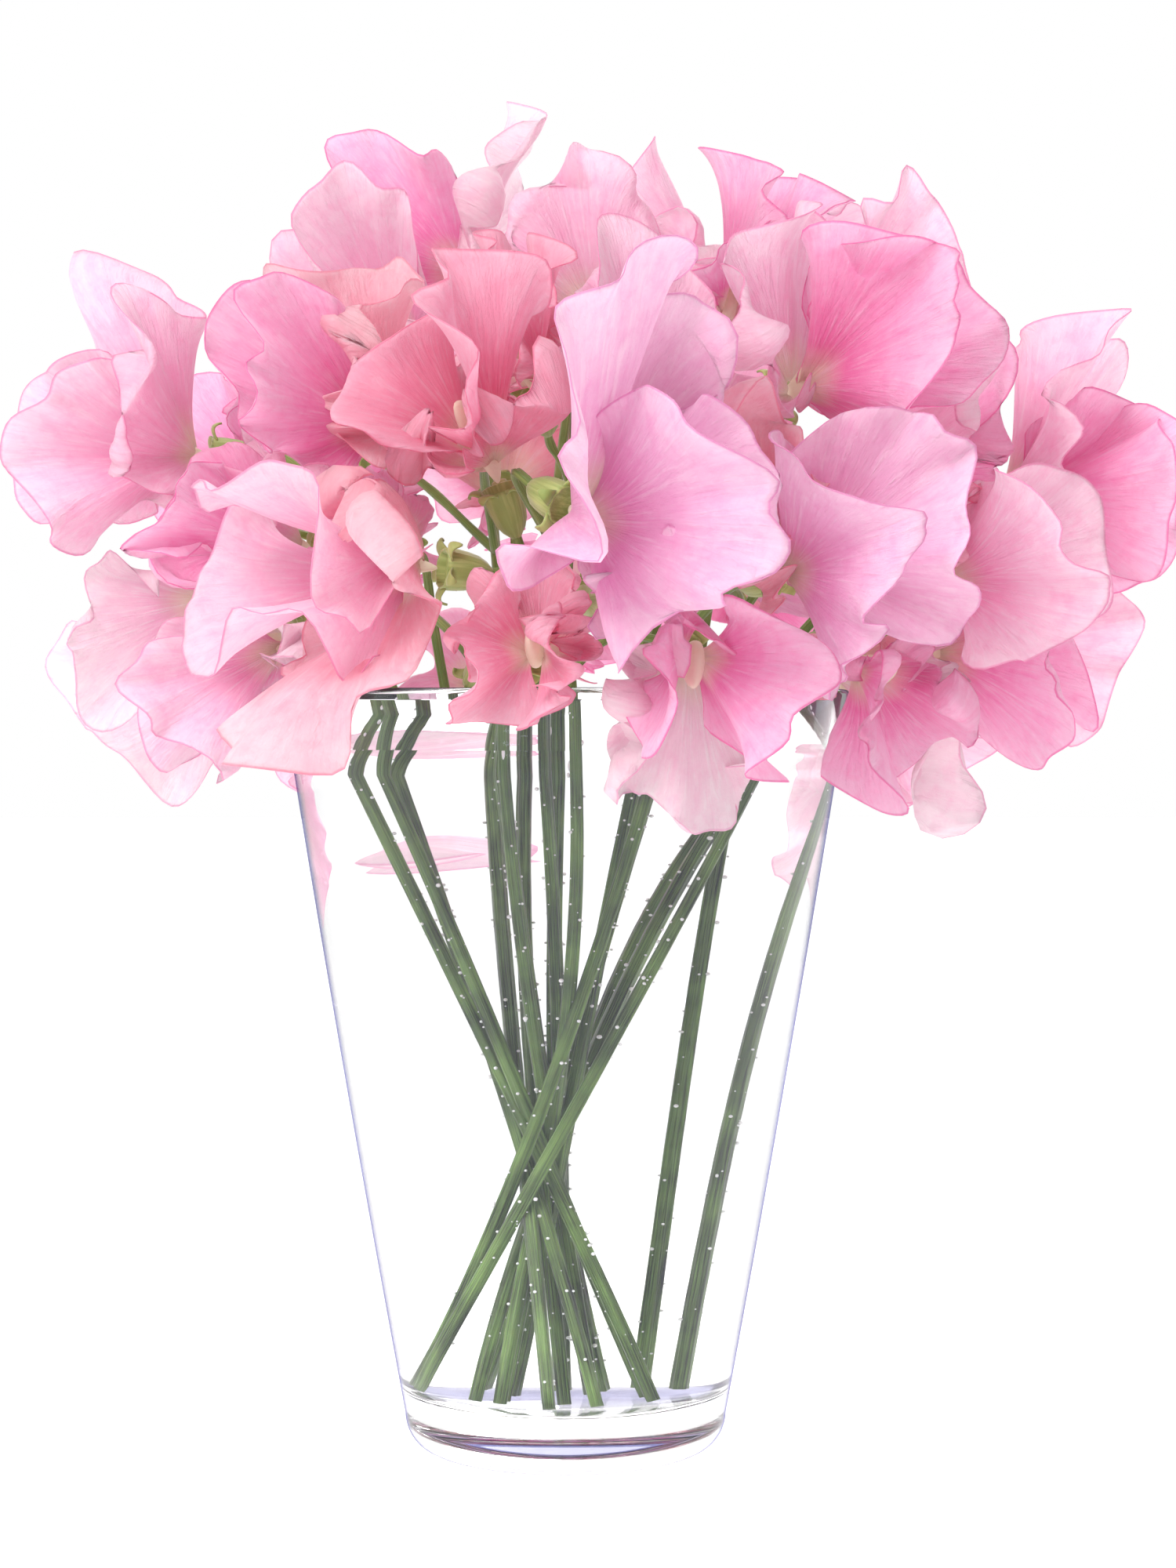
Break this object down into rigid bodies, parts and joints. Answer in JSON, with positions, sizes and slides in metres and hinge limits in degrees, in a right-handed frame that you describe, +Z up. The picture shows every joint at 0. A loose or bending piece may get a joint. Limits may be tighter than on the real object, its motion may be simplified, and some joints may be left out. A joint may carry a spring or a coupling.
{
  "type": "vase of sweet peas",
  "caption": "Flared clear glass vase filled with water, holding a loose dome of cut sweet peas with wide waved petals on thin green stems.",
  "frame": {"origin": "middle of the vase's foot, on the surface it stands on", "axes": "+Z up along the vase's axis, -Y the front seen in the picture, +X to the viewer's right"},
  "size_m": [0.2591, 0.2554, 0.3029],
  "materials": {
    "glass": "polished clear glass",
    "water": "clear still water",
    "stem_green": "matt green plant stem with fine ridges and hairs",
    "petal_pink": "thin satin petal that lets light through"
  },
  "bodies": {
    "root": {"vase": "glass", "water": "water", "spray_01": "stem_green", "spray_02": "stem_green", "spray_03": "stem_green", "spray_04": "stem_green", "spray_05": "stem_green", "spray_06": "stem_green", "spray_07": "stem_green", "spray_08": "stem_green", "spray_09": "stem_green", "spray_10": "stem_green", "spray_11": "stem_green", "spray_12": "stem_green", "spray_13": "stem_green", "spray_14": "stem_green", "spray_15": "stem_green", "spray_16": "stem_green", "spray_17": "stem_green", "spray_18": "stem_green", "bloom_01": "petal_pink", "bloom_02": "petal_pink", "bloom_03": "petal_pink", "bloom_04": "petal_pink", "bloom_05": "petal_pink", "bloom_06": "petal_pink", "bloom_07": "petal_pink", "bloom_08": "petal_pink", "bloom_09": "petal_pink", "bloom_10": "petal_pink", "bloom_11": "petal_pink", "bloom_12": "petal_pink", "bloom_13": "petal_pink", "bloom_14": "petal_pink", "bloom_15": "petal_pink", "bloom_16": "petal_pink", "bloom_17": "petal_pink", "bloom_18": "petal_pink", "bloom_19": "petal_pink", "bloom_20": "petal_pink", "bloom_21": "petal_pink", "bloom_22": "petal_pink", "bloom_23": "petal_pink", "bloom_24": "petal_pink", "bloom_25": "petal_pink", "bloom_26": "petal_pink", "bloom_27": "petal_pink", "bloom_28": "petal_pink", "bloom_29": "petal_pink", "bloom_30": "petal_pink", "bloom_31": "petal_pink", "bloom_32": "petal_pink", "bloom_33": "petal_pink", "bloom_34": "petal_pink", "bloom_35": "petal_pink", "bloom_36": "petal_pink", "bloom_37": "petal_pink", "bloom_38": "petal_pink", "bloom_39": "petal_pink"}
  },
  "joints": []
}
